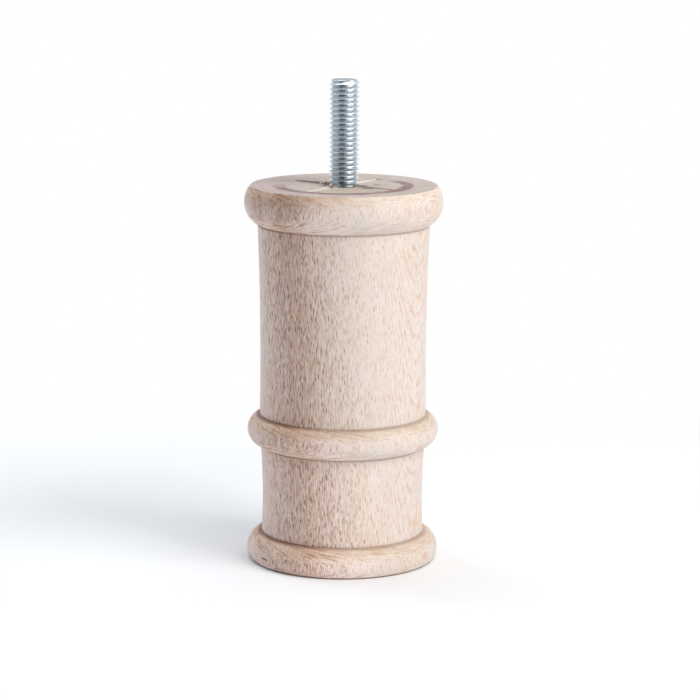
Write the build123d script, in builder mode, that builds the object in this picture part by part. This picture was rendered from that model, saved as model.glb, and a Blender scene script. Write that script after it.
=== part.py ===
from build123d import *
import math
import os

# Turned furniture leg with a hanger bolt standing out of its top face.
# Millimetres, +Z up. The origin is the centre of the foot, on the floor.

# Overall size of the leg
leg_height = 99.5

# Bead at the head of the leg
head_diameter = 52.0
head_bead_radius = 6.6
head_bead_below_top = 4.3

# Bead round the middle
middle_diameter = 50.4
middle_bead_radius = 4.1
middle_height = 34.9

# Half bead at the foot
foot_diameter = 50.6
foot_bead_radius = 4.6
foot_bead_height = 2.9

# Barrel between the head and the middle bead: top, waist and bottom
upper_top_diameter = 45.0
upper_waist_diameter = 43.7
upper_bottom_diameter = 43.9

# Barrel between the middle bead and the foot
lower_top_diameter = 43.4
lower_waist_diameter = 42.4
lower_bottom_diameter = 42.9

# Cuts that the four spurs of the lathe's drive centre left in the top face
spur_count = 4
spur_angle = 55.0
spur_inner_radius = 5.2
spur_outer_radius = 15.4
spur_width = 1.3
spur_depth = 0.7

# Hanger bolt: machine-screw stud above the wood, then plain shank, wood-screw end and point in it
bolt_length = 60.0
stud_height = 27.5
stud_diameter = 7.85
end_chamfer = 0.7
shank_diameter = 7.1
shank_length = 5.0
screw_diameter = 7.6
point_length = 5.0
point_diameter = 1.0

# Fit of the bolt in its hole, which opens a little wider than the stud at its mouth
bolt_clearance = 0.05
mouth_clearance = 0.15
mouth_depth = 0.4
hole_spare_depth = 1.0
drill_point_angle = 118.0

# Sizes that follow from the ones above
stud_top = leg_height + stud_height
screw_top = leg_height - shank_length
point_tip = stud_top - bolt_length
point_start = point_tip + point_length
hole_radius = screw_diameter / 2 + bolt_clearance
mouth_radius = stud_diameter / 2 + mouth_clearance
hole_floor = point_tip - hole_spare_depth
drill_point_depth = hole_radius / math.tan(math.radians(drill_point_angle / 2))


def bead_edge(centre_height, largest_diameter, bead_radius, edge_radius, side):
    """Height at which a bead's arc reaches a radius, above (1) or below (-1) its centre."""
    arc_centre = largest_diameter / 2 - bead_radius
    return centre_height + side * math.sqrt(bead_radius**2 - (edge_radius - arc_centre) ** 2)


def bead_radius_at(centre_height, largest_diameter, bead_radius, height):
    """Radius of a bead's arc at a height, on its outer side."""
    arc_centre = largest_diameter / 2 - bead_radius
    return arc_centre + math.sqrt(bead_radius**2 - (height - centre_height) ** 2)


# Turned leg: half of its outline, drawn from the middle of the foot up to the top face
head_height = leg_height - head_bead_below_top
foot_face_radius = bead_radius_at(foot_bead_height, foot_diameter, foot_bead_radius, 0)
top_face_radius = bead_radius_at(head_height, head_diameter, head_bead_radius, leg_height)
foot_top = bead_edge(foot_bead_height, foot_diameter, foot_bead_radius, lower_bottom_diameter / 2, 1)
middle_bottom = bead_edge(middle_height, middle_diameter, middle_bead_radius, lower_top_diameter / 2, -1)
middle_top = bead_edge(middle_height, middle_diameter, middle_bead_radius, upper_bottom_diameter / 2, 1)
head_bottom = bead_edge(head_height, head_diameter, head_bead_radius, upper_top_diameter / 2, -1)

with BuildPart() as turned_leg:
    with BuildSketch(Plane.XZ) as leg_section:
        with BuildLine() as leg_outline:
            Line((0, 0), (foot_face_radius, 0))
            ThreePointArc(
                (foot_face_radius, 0),
                (foot_diameter / 2, foot_bead_height),
                (lower_bottom_diameter / 2, foot_top),
            )
            ThreePointArc(
                (lower_bottom_diameter / 2, foot_top),
                (lower_waist_diameter / 2, (foot_top + middle_bottom) / 2),
                (lower_top_diameter / 2, middle_bottom),
            )
            ThreePointArc(
                (lower_top_diameter / 2, middle_bottom),
                (middle_diameter / 2, middle_height),
                (upper_bottom_diameter / 2, middle_top),
            )
            ThreePointArc(
                (upper_bottom_diameter / 2, middle_top),
                (upper_waist_diameter / 2, (middle_top + head_bottom) / 2),
                (upper_top_diameter / 2, head_bottom),
            )
            ThreePointArc(
                (upper_top_diameter / 2, head_bottom),
                (head_diameter / 2, head_height),
                (top_face_radius, leg_height),
            )
            Line((top_face_radius, leg_height), (0, leg_height))
            Line((0, leg_height), (0, 0))
        make_face()
    revolve(axis=Axis.Z)

    # Blind hole for the bolt, ending in the cone of the drill's point
    with BuildSketch(Plane.XZ) as hole_section:
        with BuildLine() as hole_outline:
            Polyline(
                (0, leg_height),
                (mouth_radius, leg_height),
                (hole_radius, leg_height - mouth_depth),
                (hole_radius, hole_floor),
                (0, hole_floor - drill_point_depth),
                close=True,
            )
        make_face()
    revolve(axis=Axis.Z, mode=Mode.SUBTRACT)

    # V-shaped spur cuts, each running outwards from beside the hole
    for spur in range(spur_count):
        turn = math.radians(spur_angle + spur * 360 / spur_count)
        outwards = Vector(math.cos(turn), math.sin(turn), 0)
        sideways = Vector(-math.sin(turn), math.cos(turn), 0)
        start = outwards * spur_inner_radius + Vector(0, 0, leg_height)
        with BuildSketch(Plane(origin=start, x_dir=sideways, z_dir=outwards)) as spur_section:
            with BuildLine() as spur_outline:
                Polyline((-spur_width / 2, 0), (spur_width / 2, 0), (0, -spur_depth), close=True)
            make_face()
        extrude(amount=spur_outer_radius - spur_inner_radius, mode=Mode.SUBTRACT)

turned_leg.part.label = "turned_leg"


# Hanger bolt: one turned outline, from the point in the wood up to the end of the stud
with BuildPart() as hanger_bolt:
    with BuildSketch(Plane.XZ) as bolt_section:
        with BuildLine() as bolt_outline:
            Polyline(
                (0, point_tip),
                (point_diameter / 2, point_tip),
                (screw_diameter / 2, point_start),
                (screw_diameter / 2, screw_top),
                (shank_diameter / 2, screw_top),
                (shank_diameter / 2, leg_height),
                (stud_diameter / 2, leg_height),
                (stud_diameter / 2, stud_top - end_chamfer),
                (stud_diameter / 2 - end_chamfer, stud_top),
                (0, stud_top),
                close=True,
            )
        make_face()
    revolve(axis=Axis.Z)

hanger_bolt.part.label = "hanger_bolt"


os.makedirs("parts", exist_ok=True)
for piece in (turned_leg, hanger_bolt):
    export_step(piece.part, f"parts/{piece.part.label}.step")
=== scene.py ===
import math
import random
from collections import namedtuple

import bmesh
import bpy
from mathutils import Matrix, Vector


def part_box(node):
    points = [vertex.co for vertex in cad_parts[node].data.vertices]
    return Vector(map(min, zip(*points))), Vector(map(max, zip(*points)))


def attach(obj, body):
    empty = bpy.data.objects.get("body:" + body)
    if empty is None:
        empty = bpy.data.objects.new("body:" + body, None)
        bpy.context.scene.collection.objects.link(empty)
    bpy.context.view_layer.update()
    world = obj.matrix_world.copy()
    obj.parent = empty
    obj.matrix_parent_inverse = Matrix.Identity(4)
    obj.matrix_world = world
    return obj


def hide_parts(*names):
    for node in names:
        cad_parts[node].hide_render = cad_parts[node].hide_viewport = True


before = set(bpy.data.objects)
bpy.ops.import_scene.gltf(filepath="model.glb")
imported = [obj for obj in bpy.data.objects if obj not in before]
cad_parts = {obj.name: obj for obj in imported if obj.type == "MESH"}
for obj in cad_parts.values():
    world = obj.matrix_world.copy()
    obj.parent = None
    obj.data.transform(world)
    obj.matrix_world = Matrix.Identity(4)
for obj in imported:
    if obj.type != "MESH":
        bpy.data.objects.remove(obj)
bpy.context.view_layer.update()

# Looks of a turned beech furniture leg with a zinc-plated hanger bolt in its top face.
# Blender works in metres. Sizes below are in millimetres, and are scaled where objects and textures are made.
MM = 0.001
UP = (0.0, 0.0, 1.0)
RANDOM_SEED = 7


def heights(node):
    """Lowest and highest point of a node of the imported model."""
    return [(corner / MM).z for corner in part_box(node)]


TOP_FACE = heights("turned_leg")[1]
BOLT_TIP, BOLT_TOP = heights("hanger_bolt")


# Shader nodes

class Graph:
    """Short calls that make and join the nodes of one material or world."""

    def __init__(self, owner):
        self.owner = owner
        owner.use_nodes = True
        self.tree = owner.node_tree
        self.shader = self.tree.nodes.get("Principled BSDF")

    def put(self, socket, value):
        """Links a node's output to a socket, or sets the socket to a plain value."""
        if isinstance(value, bpy.types.NodeSocket):
            self.tree.links.new(value, socket)
        else:
            socket.default_value = value

    def fill(self, node, inputs):
        """Values or links for a node's inputs, by name, with _ for each space."""
        for name, value in inputs.items():
            self.put(node.inputs[name.replace("_", " ")], value)

    def node(self, kind, **inputs):
        made = self.tree.nodes.new(kind)
        self.fill(made, inputs)
        return made

    def surface(self, **inputs):
        """Values or links for the material's own shader."""
        self.fill(self.shader, inputs)

    def math(self, operation, *values, clamp=False):
        made = self.tree.nodes.new("ShaderNodeMath")
        made.operation = operation
        made.use_clamp = clamp
        for socket, value in zip(made.inputs, values):
            self.put(socket, value)
        return made.outputs[0]

    def product(self, first, *others):
        for value in others:
            first = self.math("MULTIPLY", first, value)
        return first

    def between(self, share, least, most):
        """Least where the share is 0, and most where it is 1."""
        return self.math("MULTIPLY_ADD", share, most - least, least)

    def swing(self, share, size):
        """A 0 to 1 share as a swing of the given size about 0."""
        return self.between(share, -size, size)

    def vector(self, operation, a, b=(0, 0, 0)):
        made = self.tree.nodes.new("ShaderNodeVectorMath")
        made.operation = operation
        self.put(made.inputs[0], a)
        self.put(made.inputs[1], b)
        return made.outputs["Value" if operation in ("DOT_PRODUCT", "LENGTH") else "Vector"]

    def scaled(self, place, *scales):
        return self.vector("MULTIPLY", place, scales)

    def step(self, value, start, end):
        """0 at start and 1 at end, smooth between them. Start may be above end, to fall instead."""
        low, high, first, last = (start, end, 0.0, 1.0) if start < end else (end, start, 1.0, 0.0)
        made = self.node(
            "ShaderNodeMapRange", Value=value, From_Min=low, From_Max=high, To_Min=first, To_Max=last,
        )
        made.interpolation_type = "SMOOTHSTEP"
        return made.outputs["Result"]

    def mix(self, factor, a, b, blend="MIX"):
        made = self.tree.nodes.new("ShaderNodeMix")
        made.data_type = "RGBA"
        made.blend_type = blend
        self.put(made.inputs["Factor"], factor)
        self.put(made.inputs[6], a)
        self.put(made.inputs[7], b)
        return made.outputs[2]

    def tint(self, factor, tone, colour):
        """A tone multiplied by a colour, by the given share."""
        return self.mix(factor, tone, colour, "MULTIPLY")

    def noise(self, place, detail=2.0, roughness=0.5):
        made = self.node("ShaderNodeTexNoise", Vector=place, Scale=1.0, Detail=detail, Roughness=roughness)
        return made.outputs["Fac"]

    def blend(self, factor, a, b):
        """Shader node a where the factor is 0, and b where it is 1."""
        made = self.node("ShaderNodeMixShader", Fac=factor)
        self.put(made.inputs[1], a.outputs[0])
        self.put(made.inputs[2], b.outputs[0])
        return made.outputs[0]


def surface_point(g):
    """Position in millimetres and normal of the shaded point."""
    source = g.node("ShaderNodeTexCoord").outputs
    return g.scaled(source["Object"], 1 / MM, 1 / MM, 1 / MM), source["Normal"]


def height_of(g, place):
    return g.node("ShaderNodeSeparateXYZ", Vector=place).outputs["Z"]


def from_axis(g, place):
    return g.vector("LENGTH", g.scaled(place, 1, 1, 0))


def near(g, place, centre, sizes=(1, 1, 1)):
    """Distance from a centre, in units of the sizes."""
    offset = g.vector("SUBTRACT", place, centre)
    return g.vector("LENGTH", g.vector("DIVIDE", offset, sizes))


def seen_directly(g):
    """1 where a ray shows the thing itself, straight, by reflection or through glass, and 0 for its light."""
    path = g.node("ShaderNodeLightPath").outputs
    seen = g.math("ADD", path["Is Camera Ray"], path["Is Glossy Ray"])
    return g.math("ADD", seen, path["Is Transmission Ray"], clamp=True)


# Faint relief that both wood and zinc have
BUMP_STRENGTH = 0.25
BUMP_HEIGHT = 0.03


def bump(g, relief):
    made = g.node("ShaderNodeBump", Strength=BUMP_STRENGTH, Distance=BUMP_HEIGHT * MM, Height=relief)
    return made.outputs["Normal"]


def colour(r, g, b):
    """A colour given as 0 to 255 screen values, in the linear values that nodes take."""
    def linear(c):
        c /= 255
        return c / 12.92 if c <= 0.04045 else ((c + 0.055) / 1.055) ** 2.4
    return (linear(r), linear(g), linear(b), 1.0)


# Grain of the wood. Growth rings are near-flat sheets whose normal points right and to the front.
# On the beads' slopes they show as arcs round the pith.
RING_AZIMUTH = 61.0
RING_TILT = 4.0
RING_SPACING = 0.42
PITH = (4.0, -2.2, 0.0)
GRAIN_ROUGHNESS = 0.6

# Tones of the sides
# Wood tone with painted light: paler and less saturated on the lit right side, bluer on the shaded left side
PAINTED_LIT_TONE = colour(227, 216, 208)
PAINTED_SHADED_TONE = colour(234, 216, 209)
# Painted shade: a darker band down the front left of the sides
SHADE_BAND = colour(246, 241, 236)
CLOUD = colour(253, 249, 243)
# Lift for painted light on the beads' fronts and undersides, and for the paler lower barrel
PAINTED_LIGHT_AND_PALER = (1.12, 1.12, 1.14, 1.0)
END_GRAIN = colour(250, 247, 238)
# Darker tone just below the top face, stronger away from the right
DARKER_NEAR_TOP = colour(232, 223, 214)
# Painted shade in the creases beside the beads
PAINTED_CREASE_SHADE = colour(172, 146, 134)
# Painted contact shadow along the foot's bottom edge
FOOT_CONTACT_SHADOW = colour(120, 100, 90)
SCRATCH = colour(84, 62, 52)
STAIN = colour(112, 84, 62)

# Tints of the grain lines and flecks
STREAK = colour(247, 240, 233)
FIBRE = colour(236, 224, 214)
RING_ARC = colour(204, 174, 147)
STRAND = colour(222, 206, 193)
RING_LINE = colour(232, 190, 148)
FLECK = colour(94, 62, 44)
FLECK_PALE = colour(168, 108, 70)
LIGHT_FLECK = colour(255, 246, 236)

# Kinds of grain line as the size of one cell across, along and up, the noise's detail,
# and the noise at which a line starts and at which it is full
STREAKS = ((0.42, 3.5, 9.0), 3.0, 0.4, 0.72)
FINE_FIBRES = ((0.12, 2.6, 2.2), 2.0, 0.4, 0.7)
RING_ARCS = ((0.2, 4.0, 1.7), 2.0, 0.44, 0.62)
STRANDS = ((0.24, 0.24, 3.0), 1.0, 0.42, 0.66)
RELIEF_CELL = (0.2, 0.3, 2.5)
LINE_PATCH_CELL = (0.6, 1.6, 2.6)

# Kinds of fleck as the size of one cell, the radii of its full core and faded edge in cells,
# and how few cells have one: all at a low number, hardly any at 1
LIGHT_FLECKS = ((0.54, 0.54, 2.8), 0.15, 0.27, -0.4)
LARGE_FLECKS = ((0.46, 2.4, 3.4), 0.12, 0.3, 0.1)
SMALL_FLECKS = ((0.5, 0.5, 3.1), 0.2, 0.3, -1.2)
SHORT_FLECKS = ((0.45, 0.45, 2.6), 0.18, 0.28, -0.7)

# Places on the sides where a look starts and where it is full, in millimetres from the axis across the rings:
# above 0 lies to the right and the front, below 0 to the left and the back
# Reach of the painted light, from the shaded left tone to the lit right tone
PAINTED_LIT_REACH = (0.0, 20.0)
# Edges of the painted shade band
SHADE_BAND_LEFT = (-5.5, 1.0)
SHADE_BAND_RIGHT = (10.5, 3.5)
GRAIN_GROWS = (22.0, 4.0)
GRAIN_EASES = (-6.0, -15.0)
FLAT_SAWN_LEFT = (4.0, -4.0)
ARCS_GROW = (24.0, 0.0)
FLECKS_GROW = (24.0, 3.0)
FLECKS_EASE = (-5.0, -12.0)
# Where flecks turn from the pale colour on the lit right to the dark one on the shaded left, partly painted
# light and shade
FLECK_SHADE_SIDE = (21.0, 7.0)
# Reach of the painted light on the beads
BEAD_LIGHT_LEFT = (-6.0, 6.0)
BEAD_LIGHT_RIGHT = (22.0, 14.0)
LOWER_LEFT = (-2.0, 6.0)
LOWER_RIGHT = (24.0, 14.0)
# Where the painted crease shade grows, stronger to the left
CREASE_SHADE_LEFT = (8.0, -4.0)
# Where the darker tone below the top fades out to the right
DARKER_NEAR_TOP_REACH = (30.0, 4.0)

# The calmer back of the leg, across the rings and along them
BACK_ACROSS = (16.0, 6.0)
BACK_ALONG = (-10.0, 4.0)

# Radii over which a barrel turns into a bead, heights over which the lower barrel turns paler,
# and heights of the creases beside the beads
BEAD_START = (22.4, 23.2)
LOWER_BARREL = (34.0, 28.0)
CREASES = (89.4, 38.9, 30.85, 7.45)
CREASE_WIDTH = (0.55, 0.08)
# Heights over which the painted contact shadow at the foot fades
CONTACT_SHADOW_HEIGHT = (0.6, 0.1)

# Scratch on the foot
SCRATCH_PLACE = (-20.1, -15.0, 2.8)
SCRATCH_SIZE = (1.9, 1.6, 0.28)

# Soft stains on the surface as centre, radius and strength
STAINS = (
    ((-13.5, -20.0, 96.0), 6.5, 1.0),
    ((-21.0, -13.0, 95.5), 4.5, 0.7),
    ((-14.0, -17.0, 86.5), 5.0, 0.45),
    ((-12.0, -18.5, 46.0), 7.0, 0.35),
    ((-16.0, -17.5, 37.5), 6.0, 0.6),
    ((-16.0, 11.0, 99.5), 5.5, 0.6),
)

# Where a point lies in the wood: its place, its places across the rings, along them and up, how squarely its
# surface faces across the rings, how far it faces up, and a slow noise
Grain = namedtuple("Grain", "place across along height facing upright broad")

# Shares of the grain's looks by place: the whole grain, lines in sheets, arcs on slopes, strands and flecks
Shares = namedtuple("Shares", "strong sheets slopes walls dashed")


def grain_of(g):
    """The shaded point's place in the wood."""
    place, normal = surface_point(g)
    azimuth, tilt = math.radians(RING_AZIMUTH), math.radians(RING_TILT)
    ring_normal = (math.sin(azimuth) * math.cos(tilt), -math.cos(azimuth) * math.cos(tilt), math.sin(tilt))
    ring_run = (math.cos(azimuth), math.sin(azimuth), 0.0)
    slow = g.noise(g.scaled(place, 0.07, 0.07, 0.04), 0.0)
    quick = g.noise(g.scaled(place, 0.24, 0.24, 0.11), 1.0)
    bend = g.math("ADD", g.swing(slow, 0.35), g.swing(quick, 0.05))
    return Grain(
        place=place,
        across=g.math("ADD", g.vector("DOT_PRODUCT", place, ring_normal), bend),
        along=g.vector("DOT_PRODUCT", place, ring_run),
        height=height_of(g, place),
        facing=g.math("ABSOLUTE", g.vector("DOT_PRODUCT", normal, ring_normal)),
        upright=g.vector("DOT_PRODUCT", normal, UP),
        broad=g.noise(g.scaled(place, 0.13, 0.13, 0.04), 2.0),
    )


def stretched(g, across, along, height, cell):
    """Grain coordinates over the size of one cell in each direction."""
    parts = [g.math("DIVIDE", value, size) for value, size in zip((across, along, height), cell)]
    return g.node("ShaderNodeCombineXYZ", X=parts[0], Y=parts[1], Z=parts[2]).outputs[0]


def in_sheets(g, grain, cell):
    return stretched(g, grain.across, grain.along, grain.height, cell)


def lines(g, where, detail, start, full):
    """1 on the lines of a stretched noise, and 0 between them."""
    return g.step(g.noise(where, detail, GRAIN_ROUGHNESS), start, full)


def flecks(g, where, core, edge, rare):
    """Short spindles of one size: 1 in a fleck, 0 beside it, weaker in most cells."""
    cells = g.node("ShaderNodeTexVoronoi", Vector=where, Scale=1.0).outputs
    chance = g.node("ShaderNodeSeparateColor", Color=cells["Color"]).outputs[0]
    return g.product(g.step(cells["Distance"], edge, core), g.step(chance, rare, 1.0))


def grain_shares(g, grain):
    """Strong grain at the left, partly the wood's figure and partly painted shade of its relief, calm at the
    right and the back, and other lines on slopes than on walls.
    """
    across = grain.across
    back = g.product(g.step(grain.along, *BACK_ALONG), g.step(across, *BACK_ACROSS))
    calm = g.between(back, 1.0, 0.5)
    rough = g.between(g.step(across, *GRAIN_GROWS), 0.26, 1.0)
    strong = g.product(g.math("SUBTRACT", rough, g.product(g.step(across, *GRAIN_EASES), 0.15)), calm)
    flat_sawn = g.product(g.step(grain.facing, 0.5, 0.85), g.step(across, *FLAT_SAWN_LEFT))
    sloping = g.step(g.math("ABSOLUTE", grain.upright), 0.15, 0.5)
    walls = g.between(sloping, 1.0, 0.2)
    faded = g.step(g.noise(g.scaled(grain.place, 0.35, 0.35, 0.5), 1.0), 0.3, 0.6)
    arcs = g.product(g.between(g.step(across, *ARCS_GROW), 0.45, 0.95), g.between(faded, 0.45, 1.0))
    fewer = g.math("SUBTRACT", walls, g.product(g.step(across, *FLECKS_EASE), 0.8), clamp=True)
    return Shares(
        strong=strong,
        sheets=g.product(strong, g.between(flat_sawn, 1.0, 0.2)),
        slopes=g.product(sloping, calm, arcs),
        walls=g.product(strong, walls),
        dashed=g.product(g.between(g.step(across, *FLECKS_GROW), 0.4, 1.0), fewer, calm),
    )


def side_ground(g, grain):
    """Broad tone of the sides: the wood's own tone with painted light, paler and less saturated to the lit
    right and bluer to the shaded left, a painted shade band near the pith, and faint clouds.
    """
    drift = g.swing(g.noise(g.scaled(grain.place, 0.08, 0.08, 0.03)), 3.0)
    # Painted light: paler to the lit right, bluer to the shaded left
    tone = g.mix(g.step(g.math("ADD", grain.across, drift), *PAINTED_LIT_REACH), PAINTED_SHADED_TONE, PAINTED_LIT_TONE)
    # Painted shade band
    strip = g.product(g.step(grain.across, *SHADE_BAND_LEFT), g.step(grain.across, *SHADE_BAND_RIGHT))
    tone = g.tint(strip, tone, SHADE_BAND)
    return g.tint(g.step(grain.broad, 0.45, 0.75), tone, CLOUD)


def side_lines(g, grain, shares, tone):
    """Streaks and fibres in the sheets, arcs on the slopes, strands on the walls, and the growth rings."""
    for (cell, *kind), tint in ((STREAKS, STREAK), (FINE_FIBRES, FIBRE)):
        tone = g.tint(g.product(lines(g, in_sheets(g, grain, cell), *kind), shares.sheets), tone, tint)

    cell, *kind = RING_ARCS
    from_pith = g.math("ADD", near(g, g.scaled(grain.place, 1, 1, 0), PITH), g.swing(grain.broad, 0.7))
    arcs = lines(g, stretched(g, from_pith, grain.along, grain.height, cell), *kind)
    tone = g.tint(g.product(arcs, shares.slopes), tone, RING_ARC)

    cell, *kind = STRANDS
    strands = lines(g, g.vector("DIVIDE", grain.place, cell), *kind)
    tone = g.tint(g.product(strands, shares.walls), tone, STRAND)

    phase = g.math("FRACT", g.math("DIVIDE", grain.across, RING_SPACING))
    line = g.product(g.step(phase, 0.5, 0.75), g.step(phase, 1.0, 0.85))
    patchy = g.step(g.noise(in_sheets(g, grain, LINE_PATCH_CELL)), 0.36, 0.6)
    seen = g.math("MAXIMUM", g.step(grain.facing, 0.7, 0.97), g.step(grain.upright, 0.2, 0.7))
    return g.tint(g.product(line, patchy, seen, 0.4), tone, RING_LINE)


def side_flecks(g, grain, shares, tone):
    """Dark and a few light flecks. Gives the tone and how deep the flecks lie."""
    def kind(cell, *looks):
        return flecks(g, g.vector("DIVIDE", grain.place, cell), *looks)

    cell, *looks = LARGE_FLECKS
    large = g.product(flecks(g, in_sheets(g, grain, cell), *looks), shares.sheets)
    small = g.product(kind(*SMALL_FLECKS), shares.dashed)
    short = g.product(kind(*SHORT_FLECKS), shares.dashed)
    tone = g.mix(g.product(kind(*LIGHT_FLECKS), shares.strong, 0.4), tone, LIGHT_FLECK)
    # Flecks darker toward the shaded left and paler toward the lit right: partly their own colour, partly
    # painted shade and light
    shade = g.mix(g.step(grain.across, *FLECK_SHADE_SIDE), FLECK_PALE, FLECK)
    for share, strength in ((large, 0.5), (short, 0.75), (small, 0.85)):
        tone = g.mix(g.product(share, strength), tone, shade)
    return tone, g.math("MAXIMUM", large, small)


def side_marks(g, grain, tone):
    """Painted light on the beads, a paler lower barrel, painted contact shadow at the foot's edge, the scratch
    on the foot, and painted shade in the creases.
    """
    across, height = grain.across, grain.height
    # Painted light on the beads' fronts and undersides
    bead = g.product(g.step(from_axis(g, grain.place), *BEAD_START), g.step(grain.upright, 0.75, 0.35))
    bead = g.product(bead, g.step(across, *BEAD_LIGHT_LEFT), g.step(across, *BEAD_LIGHT_RIGHT))
    tone = g.tint(bead, tone, PAINTED_LIGHT_AND_PALER)
    # Paler wood on the lower barrel, with the same lift
    lower = g.product(g.step(height, *LOWER_BARREL), g.step(across, *LOWER_LEFT), g.step(across, *LOWER_RIGHT))
    tone = g.tint(lower, tone, PAINTED_LIGHT_AND_PALER)
    # Painted contact shadow at the foot's bottom edge
    tone = g.tint(g.step(height, *CONTACT_SHADOW_HEIGHT), tone, FOOT_CONTACT_SHADOW)
    scratch = g.step(near(g, grain.place, SCRATCH_PLACE, SCRATCH_SIZE), 1.1, 0.7)
    tone = g.mix(g.product(scratch, 0.8), tone, SCRATCH)
    # Painted shade in the creases, stronger on the shaded left
    darker = g.between(g.step(across, *CREASE_SHADE_LEFT), 0.5, 1.0)
    for level in CREASES:
        beside = g.math("ABSOLUTE", g.math("SUBTRACT", height, level))
        tone = g.tint(g.product(g.step(beside, *CREASE_WIDTH), darker), tone, PAINTED_CREASE_SHADE)
    return tone


# Top face: its tones, the ring that a turning tool burnished, and the reach of the spur cuts
TOP_GREY = colour(190, 176, 168)
TOP_PORES = colour(196, 178, 168)
TOP_CLOUD = colour(242, 233, 227)
TOP_LEFT = colour(246, 242, 245)
TOP_CREAM = colour(180, 163, 143)
BURNISHED = colour(92, 48, 38)
# Painted shade and painted light beside the spur cuts
CUT_SIDE_SHADE = colour(74, 54, 44)
CUT_SIDE_LIGHT = colour(222, 206, 190)
# Painted light and painted shade on the walls of the spur cuts
PAINTED_LIT_WALL = colour(216, 206, 194)
PAINTED_SHADED_WALL = colour(92, 66, 52)
# Painted shade in dents, chips and the bore's mouth
PAINTED_HOLE_SHADE = colour(40, 24, 18)

RING_MARK_RADIUS = 16.8
RING_MARK_CENTRE = (-0.2, -1.0, 0.0)
RING_MARK_HALF_WIDTH = 1.8
CREAM_CENTRE = (1.5, -9.0, 0.0)
CREAM_SIZE = (11.0, 9.0, 1.0)
CREAM_REACH = (16.4, 15.6)
GREY_LEFT = (-8.0, -20.0)
CUT_START = (4.0, 5.0)
CUT_REACH = 16.0
HOLE_EDGE = (4.4, 4.2)

# Painted shade beside the cuts at 145 degrees and painted light beside those at 55 degrees, as the cut's
# angle, its half (-1 left, 1 right), faded and full distance, and strength and colour
CUT_SIDES = (
    (145, -1, 2.6, 1.3, 1.0, CUT_SIDE_SHADE),
    (145, 1, 1.2, 0.6, 0.6, CUT_SIDE_SHADE),
    (55, -1, 1.9, 0.9, 0.7, CUT_SIDE_LIGHT),
    (55, 1, 1.5, 0.6, 0.6, CUT_SIDE_LIGHT),
)

# Dents and chips in the top face, painted dark as their shade, as x, y, half lengths along both, and strength
DENT_SHADES = (
    (5.1, -1.6, 1.0, 1.3, 1.0),
    (6.0, -6.6, 1.8, 0.9, 1.0),
    (9.0, 11.3, 1.1, 1.0, 0.7),
    (8.7, 1.8, 1.0, 0.9, 0.6),
    (-3.4, -5.7, 0.9, 1.0, 1.0),
    (-4.8, 1.4, 1.6, 2.4, 0.95),
    (0.0, -4.8, 2.0, 0.9, 1.0),
    (-5.6, -1.6, 0.8, 0.8, 0.7),
)


def end_grain(g, flat, x, reach, cloud):
    """Grey sawn end grain, with a cream patch inside the burnished ring."""
    pores = g.noise(g.scaled(flat, 1.6, 3.2, 1), 3.0, 0.7)
    tone = g.tint(g.step(pores, 0.42, 0.68), TOP_GREY, TOP_PORES)
    tone = g.tint(g.step(cloud, 0.45, 0.7), tone, TOP_CLOUD)
    tone = g.tint(g.step(x, *GREY_LEFT), tone, TOP_LEFT)
    patch = g.product(g.step(near(g, flat, CREAM_CENTRE, CREAM_SIZE), 1.0, 0.6), g.step(reach, *CREAM_REACH))
    return g.mix(g.product(patch, g.step(pores, 0.75, 0.35)), tone, TOP_CREAM)


def cut_sides(g, flat, x, radius, tone):
    """Painted shade beside the spur cuts that face away from the light, and painted light beside those that
    catch it, narrower further out.
    """
    along_cut = g.product(g.step(radius, CUT_REACH, CUT_REACH - 1.5), g.step(radius, *CUT_START))
    taper = g.math("MULTIPLY_ADD", radius, 0.07, 0.4)
    halves = {side: g.step(x, -0.5 * side, 0.5 * side) for side in (-1, 1)}
    for turn, side, faded, full, strength, edge in CUT_SIDES:
        across = (math.sin(math.radians(turn)), -math.cos(math.radians(turn)), 0.0)
        beside = g.product(g.math("ABSOLUTE", g.vector("DOT_PRODUCT", flat, across)), taper)
        line = g.product(g.step(beside, faded, full), along_cut, halves[side])
        tone = g.mix(g.product(line, strength), tone, edge)
    return tone


def burnished_ring(g, x, y, reach, cloud, tone):
    """Dark ring, strong in front and at the right, and rubbed thin in places."""
    beside = g.math("ABSOLUTE", g.math("SUBTRACT", reach, RING_MARK_RADIUS))
    off = g.math("DIVIDE", beside, RING_MARK_HALF_WIDTH)
    towards = g.math("SUBTRACT", g.product(x, 0.35), y)
    strong = g.between(g.step(towards, -8.0, 1.0), 0.1, 0.9)
    rubbed = g.between(g.step(cloud, 0.35, 0.6), 0.7, 1.0)
    return g.mix(g.product(g.step(off, 1.2, 0.6), strong, rubbed), tone, BURNISHED)


def dent_shade(g, flat, tone):
    """Painted shade in dents and chips, with torn outlines."""
    torn = g.node("ShaderNodeTexNoise", Vector=flat, Scale=1.3, Detail=3.0).outputs["Color"]
    torn = g.vector("ADD", flat, g.scaled(g.vector("SUBTRACT", torn, (0.5, 0.5, 0.5)), 2.0, 2.0, 0.0))
    for x, y, half_x, half_y, strength in DENT_SHADES:
        pit = g.step(near(g, torn, (x, y, 0), (half_x, half_y, 1)), 1.2, 0.75)
        tone = g.mix(g.product(pit, strength), tone, PAINTED_HOLE_SHADE)
    return tone


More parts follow.
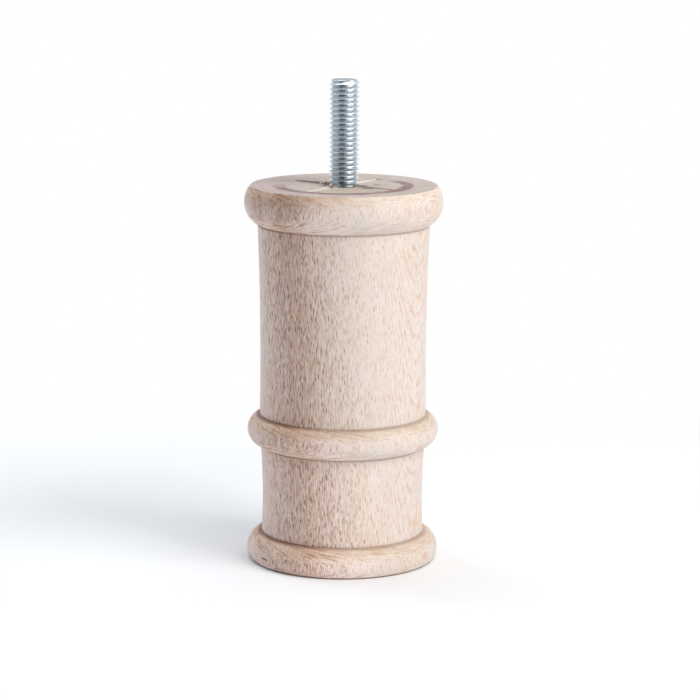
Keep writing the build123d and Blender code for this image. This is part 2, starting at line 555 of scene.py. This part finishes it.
def top_colour(g, place):
    """Top face's tone, the distance from the axis, and 1 in the two spur cuts that catch the light."""
    flat = g.scaled(place, 1, 1, 0)
    split = g.node("ShaderNodeSeparateXYZ", Vector=flat).outputs
    x, y = split["X"], split["Y"]
    radius = g.vector("LENGTH", flat)
    wobble = g.swing(g.noise(g.scaled(flat, 0.16, 0.16, 1), 3.0), 0.9)
    reach = g.math("ADD", near(g, flat, RING_MARK_CENTRE), wobble)
    cloud = g.noise(g.scaled(flat, 0.16, 0.24, 1), 3.0)
    tone = end_grain(g, flat, x, reach, cloud)
    tone = cut_sides(g, flat, x, radius, tone)
    tone = burnished_ring(g, x, y, reach, cloud, tone)
    return dent_shade(g, flat, tone), radius, g.step(g.product(x, y), -0.5, 0.5)


def below_top(g, height, start, full):
    """Fades in with the depth under the top face."""
    return g.step(height, TOP_FACE - start, TOP_FACE - full)


def stained(g, place, tone):
    ragged = g.step(g.noise(g.scaled(place, 1.5, 1.5, 0.45), 4.0, 0.7), 0.38, 0.62)
    for centre, size, strength in STAINS:
        stain = g.step(near(g, place, centre, (size, size, size)), 1.2, 0.2)
        tone = g.mix(g.product(stain, ragged, strength, 0.5), tone, STAIN)
    return tone


def beech():
    """Matte, unfinished beech, as a solid texture that is right on every side."""
    g = Graph(bpy.data.materials.new("beech"))
    grain = grain_of(g)
    height, upright = grain.height, grain.upright
    shares = grain_shares(g, grain)
    tone = side_ground(g, grain)
    tone = side_lines(g, grain, shares, tone)
    tone, dark = side_flecks(g, grain, shares, tone)
    tone = side_marks(g, grain, tone)
    tone = g.tint(g.step(upright, 0.15, 0.8), tone, END_GRAIN)
    # Darker just below the top face, away from the right
    near_top = g.product(below_top(g, height, 6.0, 1.0), g.step(grain.across, *DARKER_NEAR_TOP_REACH))
    tone = g.tint(near_top, tone, DARKER_NEAR_TOP)

    top, radius, lit_cut = top_colour(g, grain.place)
    on_top = g.product(g.step(upright, 0.93, 0.98), below_top(g, height, 0.12, 0.04))
    tone = stained(g, grain.place, g.mix(on_top, tone, top))
    in_cut = g.product(below_top(g, height, 0.03, 0.12), below_top(g, height, 1.2, 0.9))
    in_cut = g.product(in_cut, g.step(radius, CUT_REACH, CUT_REACH - 0.3))
    # Painted light on the walls of the two spur cuts that catch the light, painted shade on the other two
    tone = g.mix(in_cut, tone, g.mix(lit_cut, PAINTED_SHADED_WALL, PAINTED_LIT_WALL))
    # Painted shade in the bore's mouth round the bolt
    in_hole = g.product(below_top(g, height, 0.1, 0.6), g.step(radius, *HOLE_EDGE))
    tone = g.mix(in_hole, tone, PAINTED_HOLE_SHADE)

    matte = g.between(g.noise(g.scaled(grain.place, 0.9, 0.9, 0.2)), 0.55, 0.69)
    fine = g.noise(in_sheets(g, grain, RELIEF_CELL), 2.0, GRAIN_ROUGHNESS)
    relief = g.math("SUBTRACT", g.product(fine, 0.5), dark)
    g.surface(
        Base_Color=tone, Roughness=matte, Specular_IOR_Level=0.35,
        Sheen_Weight=0.15, Sheen_Roughness=0.5, Normal=bump(g, relief),
    )
    return g.owner


# Hanger bolt: M8 machine thread above the wood, plain shank and wood-screw thread in it
STUD_RADIUS = 3.92
STUD_PITCH = 1.25
STUD_THREAD_DROP = 0.6
STUD_CHAMFER = 0.7
STUD_SUNK = 0.8
BURIED_BELOW = 0.1
BURIED_RADIUS = 3.7
SHANK_RADIUS = 3.55
SHANK_LENGTH = 5.0
SCREW_RADIUS = 3.78
SCREW_PITCH = 2.6
SCREW_DEPTH = 0.95
POINT_LENGTH = 5.0
POINT_RADIUS = 0.45
TURN_STEPS = 96

# Machine thread: its depth, crest and flank in pitches, and the rounding of its root, up in millimetres
# and along in pitches
THREAD_DEPTH = 0.6134
CREST = 0.125
FLANK = 0.3437
ROOT_LIFT = 0.04
ROOT_RUN = 0.06

# Tones of the zinc plating
ZINC_PALE = colour(214, 224, 230)
ZINC_GREY = colour(198, 210, 218)
ZINC_SPECK = colour(166, 178, 188)
# Painted shade in the thread's root
PAINTED_THREAD_ROOT_SHADE = colour(172, 178, 186)
SHEARED_END = colour(138, 146, 154)


def zinc():
    """Bright bluish zinc plating, a little uneven, with painted shade in the thread's root, and duller on the
    sheared end.
    """
    g = Graph(bpy.data.materials.new("zinc_plate"))
    place, normal = surface_point(g)
    cloud = g.noise(g.scaled(place, 0.5, 0.5, 0.5), 3.0, 0.6)
    speck = g.noise(g.scaled(place, 4.0, 4.0, 4.0), 3.0, 0.7)
    tone = g.mix(g.step(cloud, 0.35, 0.7), ZINC_PALE, ZINC_GREY)
    tone = g.mix(g.product(g.step(speck, 0.5, 0.8), 0.5), tone, ZINC_SPECK)
    # Painted shade in the thread's root
    tone = g.mix(g.step(from_axis(g, place), STUD_RADIUS - 0.45, STUD_RADIUS - 0.77), tone, PAINTED_THREAD_ROOT_SHADE)
    at_end = g.step(height_of(g, place), BOLT_TOP - 0.2, BOLT_TOP - 0.1)
    sheared = g.product(g.step(g.vector("DOT_PRODUCT", normal, UP), 0.85, 0.95), at_end)
    tone = g.mix(sheared, tone, SHEARED_END)
    rough = g.math("ADD", g.between(speck, 0.17, 0.37), g.product(sheared, 0.25))
    g.surface(Base_Color=tone, Metallic=1.0, Roughness=rough, Normal=bump(g, speck))
    return g.owner


def helix_rows(low, high, pitch, section, drop):
    """Grid of (radius, angle, height) on a right-hand thread, from (share of the pitch, radius) pairs."""
    start = low - drop - 1.5 * pitch
    turns = math.ceil((high - low + drop) / pitch) + 2
    rows = [(start + (turn + share) * pitch, radius) for turn in range(turns) for share, radius in section]
    return [
        [
            (radius, 2 * math.pi * step / TURN_STEPS, height + pitch * step / TURN_STEPS)
            for step in range(TURN_STEPS)
        ]
        for height, radius in rows
    ]


def thread_surface(bm, low, high, pitch, section, limit, drop=0.0):
    """Threaded length between two heights, its radius held under limit(height)."""
    made = []
    for row in helix_rows(low, high, pitch, section, drop):
        points = [(min(radius, limit(height)), angle, height) for radius, angle, height in row]
        made.append([bm.verts.new((r * math.cos(a), r * math.sin(a), z)) for r, a, z in points])
    per_turn = len(section)
    for i in range(len(made) - 1):
        for j in range(TURN_STEPS - 1):
            bm.faces.new((made[i][j], made[i][j + 1], made[i + 1][j + 1], made[i + 1][j]))
        if i + per_turn + 1 < len(made):
            bm.faces.new((made[i + per_turn][0], made[i + per_turn + 1][0], made[i + 1][-1], made[i][-1]))
    for height, way in ((low, -1), (high, 1)):
        bmesh.ops.bisect_plane(
            bm, geom=bm.verts[:] + bm.edges[:] + bm.faces[:], dist=1e-5,
            plane_co=(0, 0, height), plane_no=(0, 0, way), clear_outer=True,
        )


def close_ends(bm, heights):
    """Fills the open loops that lie at the given heights."""
    for height in heights:
        loop = [e for e in bm.edges if e.is_boundary and all(abs(v.co.z - height) < 1e-3 for v in e.verts)]
        bmesh.ops.triangle_fill(bm, edges=loop, use_beauty=True)


def as_object(name, bm, material, sharp_angle=30):
    """Mesh object in metres from a bmesh in millimetres."""
    bmesh.ops.recalc_face_normals(bm, faces=bm.faces)
    bmesh.ops.scale(bm, vec=(MM,) * 3, verts=bm.verts)
    mesh = bpy.data.meshes.new(name)
    bm.to_mesh(mesh)
    bm.free()
    mesh.polygons.foreach_set("use_smooth", [True] * len(mesh.polygons))
    mesh.set_sharp_from_angle(angle=math.radians(sharp_angle))
    mesh.materials.append(material)
    made = bpy.data.objects.new(name, mesh)
    bpy.context.scene.collection.objects.link(made)
    return made


def machine_section():
    """Crest, flanks and rounded root of the machine thread, over one pitch."""
    depth = THREAD_DEPTH * STUD_PITCH
    root = STUD_RADIUS - depth
    return (
        (0.0, STUD_RADIUS),
        (CREST, STUD_RADIUS),
        (CREST + FLANK * 0.5, STUD_RADIUS - depth * 0.5),
        (CREST + FLANK, root + ROOT_LIFT),
        (CREST + FLANK + ROOT_RUN, root),
        (1 - FLANK - ROOT_RUN, root),
        (1 - FLANK, root + ROOT_LIFT),
        (1 - FLANK * 0.5, STUD_RADIUS - depth * 0.5),
    )


def screw_section():
    """Narrow crest, sloping flanks and broad root of the wood-screw thread, over one pitch."""
    root = SCREW_RADIUS - SCREW_DEPTH
    return ((0.0, SCREW_RADIUS), (0.06, SCREW_RADIUS), (0.32, root), (0.74, root))


def stud_limit(height):
    """Largest radius of the stud: chamfered at its end and drawn in below the wood's surface."""
    if height > BOLT_TOP - STUD_CHAMFER:
        return STUD_RADIUS - (height - (BOLT_TOP - STUD_CHAMFER))
    return STUD_RADIUS if height > TOP_FACE - BURIED_BELOW else BURIED_RADIUS


def screw_limit(height):
    """Largest radius of the wood screw, which tapers to its point."""
    grown = (height - BOLT_TIP) / POINT_LENGTH
    return min(SCREW_RADIUS, POINT_RADIUS + (SCREW_RADIUS - POINT_RADIUS) * max(grown, 0.0))


def threaded(low, high, pitch, section, limit, drop=0.0):
    """Closed threaded length between two heights."""
    bm = bmesh.new()
    thread_surface(bm, low, high, pitch, section, limit, drop)
    close_ends(bm, (low, high))
    return bm


def plain_shank():
    bm = bmesh.new()
    bmesh.ops.create_cone(
        bm, cap_ends=True, segments=TURN_STEPS, radius1=SHANK_RADIUS, radius2=SHANK_RADIUS,
        depth=SHANK_LENGTH - STUD_SUNK,
        matrix=Matrix.Translation((0, 0, TOP_FACE - (SHANK_LENGTH + STUD_SUNK) / 2)),
    )
    return bm


def hanger_bolt(material):
    """One bolt: machine thread, shank, wood-screw thread and point."""
    whole = bmesh.new()
    for part in (
        threaded(TOP_FACE - STUD_SUNK, BOLT_TOP, STUD_PITCH, machine_section(), stud_limit, STUD_THREAD_DROP),
        threaded(BOLT_TIP, TOP_FACE - SHANK_LENGTH, SCREW_PITCH, screw_section(), screw_limit),
        plain_shank(),
    ):
        mesh = bpy.data.meshes.new("part")
        part.to_mesh(mesh)
        part.free()
        whole.from_mesh(mesh)
        bpy.data.meshes.remove(mesh)
    made = as_object("hanger_bolt_zinc", whole, material, 32)
    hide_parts("hanger_bolt")
    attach(made, "root")


# Fibres torn up where the bolt went in

TORN_PALE = colour(252, 242, 228)
TORN_WARM = colour(234, 212, 186)
# Painted shade at the fibres' roots
PAINTED_FIBRE_ROOT_SHADE = colour(150, 104, 70)
FIBRE_STEPS = 7
FIBRE_THICKNESS = 0.10

FIBRES = (
    # angle round the hole, distance from its middle, heading, length, width, lift
    (146, 4.9, 175, 3.0, 0.55, 0.70),
    (160, 4.6, 255, 3.0, 0.62, 1.15),
    (172, 4.8, 310, 2.4, 0.55, 0.95),
    (184, 4.7, 235, 2.8, 0.62, 0.90),
    (196, 4.9, 285, 2.4, 0.50, 0.80),
    (208, 4.7, 205, 2.6, 0.52, 0.55),
    (222, 4.9, 250, 2.4, 0.50, 0.45),
    (238, 5.0, 190, 2.2, 0.45, 0.35),
    (296, 5.1, 330, 1.8, 0.42, 0.35),
    (314, 5.0, 350, 2.4, 0.45, 0.45),
    (330, 4.8, 300, 1.9, 0.42, 0.50),
)


def fresh_wood():
    """Pale wood of the torn fibres, with painted shade at their roots, low near the top face."""
    g = Graph(bpy.data.materials.new("torn_beech"))
    place, _ = surface_point(g)
    grain = g.noise(g.scaled(place, 3.0, 3.0, 3.0), 3.0)
    pale = g.mix(g.step(grain, 0.35, 0.7), TORN_PALE, TORN_WARM)
    # Painted shade low on the fibres, near the top face
    raised = g.step(height_of(g, place), TOP_FACE + 0.1, TOP_FACE + 0.65)
    g.surface(Base_Color=g.mix(raised, PAINTED_FIBRE_ROOT_SHADE, pale), Roughness=0.7)
    return g.owner


def fibre(bm, twist, angle, distance, heading, length, width, lift):
    """One thin curled sliver, thick at the root and sharp at the tip, rooted in the top face."""
    turn, way = math.radians(angle), math.radians(heading)
    root = Vector((distance * math.cos(turn), distance * math.sin(turn), TOP_FACE - 0.05))
    forward = Vector((math.cos(way), math.sin(way), 0))
    sideways = Vector((-math.sin(way), math.cos(way), 0))
    rings = []
    for i in range(FIBRE_STEPS):
        t = i / (FIBRE_STEPS - 1)
        spine = root + forward * length * t + Vector((0, 0, lift * math.sin(t * 2.0)))
        lean = sideways * math.cos(twist * t) + Vector(UP) * math.sin(twist * t)
        lean = lean * width * (1 - 0.85 * t) / 2
        thick = Vector((0, 0, FIBRE_THICKNESS * (1 - 0.7 * t)))
        rings.append([bm.verts.new(spine + d) for d in (-lean, thick, lean, -thick)])
    for a, b in zip(rings, rings[1:]):
        for k in range(4):
            bm.faces.new((a[k], a[(k + 1) % 4], b[(k + 1) % 4], b[k]))
    bm.faces.new(rings[0][::-1])
    bm.faces.new(rings[-1])


def torn_fibres(material):
    """All slivers as one piece, each with its own twist."""
    chance = random.Random(RANDOM_SEED)
    bm = bmesh.new()
    for sliver in FIBRES:
        fibre(bm, chance.uniform(-0.5, 0.5), *sliver)
    made = as_object("torn_fibres", bm, material, 50)
    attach(made, "root")


# Studio

FLOOR_RADIUS = 600.0
FLOOR_SIDES = 96
FLOOR_FADE = (70.0, 230.0)
FLOOR_WHITE = (0.92, 0.92, 0.92, 1)
CARD_BLACK = (0.015, 0.017, 0.02, 1)
ROOM_LIGHT = (0.90, 0.93, 1.0, 1)
ROOM_STRENGTH = 0.22
WHITE = (1, 1, 1, 1)
LOOK_AT = Vector((0, 0, 55.0))

# Lamp tints
WARM = (1.0, 0.99, 0.975)
COOL = (0.95, 0.975, 1.0)
BLUISH = (0.76, 0.88, 1.0)
PLAIN = (1.0, 1.0, 1.0)

# Camera, from a fit to the outline in the photograph
CAMERA_PLACE = (1.818, -698.6, 191.2)
CAMERA_PITCH = 10.9726
CAMERA_ROLL = 0.3228
CAMERA_LENS = 138.92
SENSOR_WIDTH = 36.0


def floor():
    """White floor that takes the shadow and fades into the white background far from the leg."""
    bm = bmesh.new()
    bmesh.ops.create_circle(bm, cap_ends=True, segments=FLOOR_SIDES, radius=FLOOR_RADIUS)
    g = Graph(bpy.data.materials.new("floor_white"))
    made = as_object("floor", bm, g.owner)
    place, _ = surface_point(g)
    away = g.step(g.vector("LENGTH", place), *FLOOR_FADE)
    g.surface(Base_Color=FLOOR_WHITE, Roughness=1.0, Specular_IOR_Level=0.0)
    faded = g.blend(g.product(away, seen_directly(g)), g.shader, g.node("ShaderNodeBsdfTransparent"))
    g.put(g.tree.nodes["Material Output"].inputs["Surface"], faded)


def face_leg(made, azimuth, elevation, distance):
    """Puts a lamp or card round the leg, turned to it. Azimuth is from the camera's side towards the right."""
    a, e = math.radians(azimuth), math.radians(elevation)
    way = Vector((math.sin(a) * math.cos(e), -math.cos(a) * math.cos(e), math.sin(e)))
    made.location = (LOOK_AT + way * distance) * MM
    made.rotation_mode = "QUATERNION"
    made.rotation_quaternion = way.to_track_quat("Z", "Y")


def lamp(name, azimuth, elevation, distance, size, power, tint, mirrored=True, lighting=True):
    """Square soft light, out of the camera's sight."""
    light = bpy.data.lights.new(name, "AREA")
    light.shape = "SQUARE"
    light.size = size * MM
    light.energy = power
    light.color = tint
    made = bpy.data.objects.new(name, light)
    face_leg(made, azimuth, elevation, distance)
    made.visible_camera = False
    made.visible_glossy = mirrored
    made.visible_diffuse = lighting
    bpy.context.scene.collection.objects.link(made)


def dark_card(name, azimuth, elevation, distance, width, height):
    """Black card outside the view, which the metal shows as a dark stripe."""
    bm = bmesh.new()
    bmesh.ops.create_grid(bm, x_segments=1, y_segments=1, size=0.5)
    bmesh.ops.scale(bm, vec=(width, height, 1), verts=bm.verts)
    g = Graph(bpy.data.materials.new(name))
    g.surface(Base_Color=CARD_BLACK, Roughness=1.0)
    made = as_object(name, bm, g.owner)
    face_leg(made, azimuth, elevation, distance)
    made.visible_camera = False
    made.visible_shadow = False
    made.visible_diffuse = False


def surroundings():
    """Dim bluish room light, seen as plain white by the camera and in reflections."""
    world = bpy.data.worlds.new("studio")
    bpy.context.scene.world = world
    g = Graph(world)
    g.tree.nodes.clear()
    dim = g.node("ShaderNodeBackground", Color=ROOM_LIGHT, Strength=ROOM_STRENGTH)
    white = g.node("ShaderNodeBackground", Color=WHITE, Strength=1.0)
    g.node("ShaderNodeOutputWorld", Surface=g.blend(seen_directly(g), dim, white))


def camera():
    """Camera at the photograph's viewing angle."""
    data = bpy.data.cameras.new("camera")
    data.lens = CAMERA_LENS
    data.sensor_width = SENSOR_WIDTH
    data.clip_start, data.clip_end = 0.01, 20
    made = bpy.data.objects.new("camera", data)
    tip = Matrix.Rotation(math.radians(90 - CAMERA_PITCH), 4, "X")
    roll = Matrix.Rotation(math.radians(CAMERA_ROLL), 4, "Z")
    made.matrix_world = Matrix.Translation(Vector(CAMERA_PLACE) * MM) @ tip @ roll
    bpy.context.scene.collection.objects.link(made)
    bpy.context.scene.camera = made


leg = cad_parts["turned_leg"]
leg.data.materials[0] = beech()
hanger_bolt(zinc())
torn_fibres(fresh_wood())

# Lamps as azimuth, elevation, distance, size, power and tint
floor()
surroundings()
lamp("key", 57, 36, 800, 460, 4.0, WARM)
lamp("second", 26, 36, 800, 460, 1.5, WARM, mirrored=False)
lamp("overhead", 180, 80, 900, 700, 3.8, COOL)
lamp("rim", -130, 20, 800, 420, 2.9, BLUISH, mirrored=False)
lamp("glint", 84, 36, 800, 400, 2.0, PLAIN, lighting=False)
dark_card("card_left", -23, 25, 900, 1000, 900)
camera()

bpy.context.scene.view_settings.view_transform = "Standard"
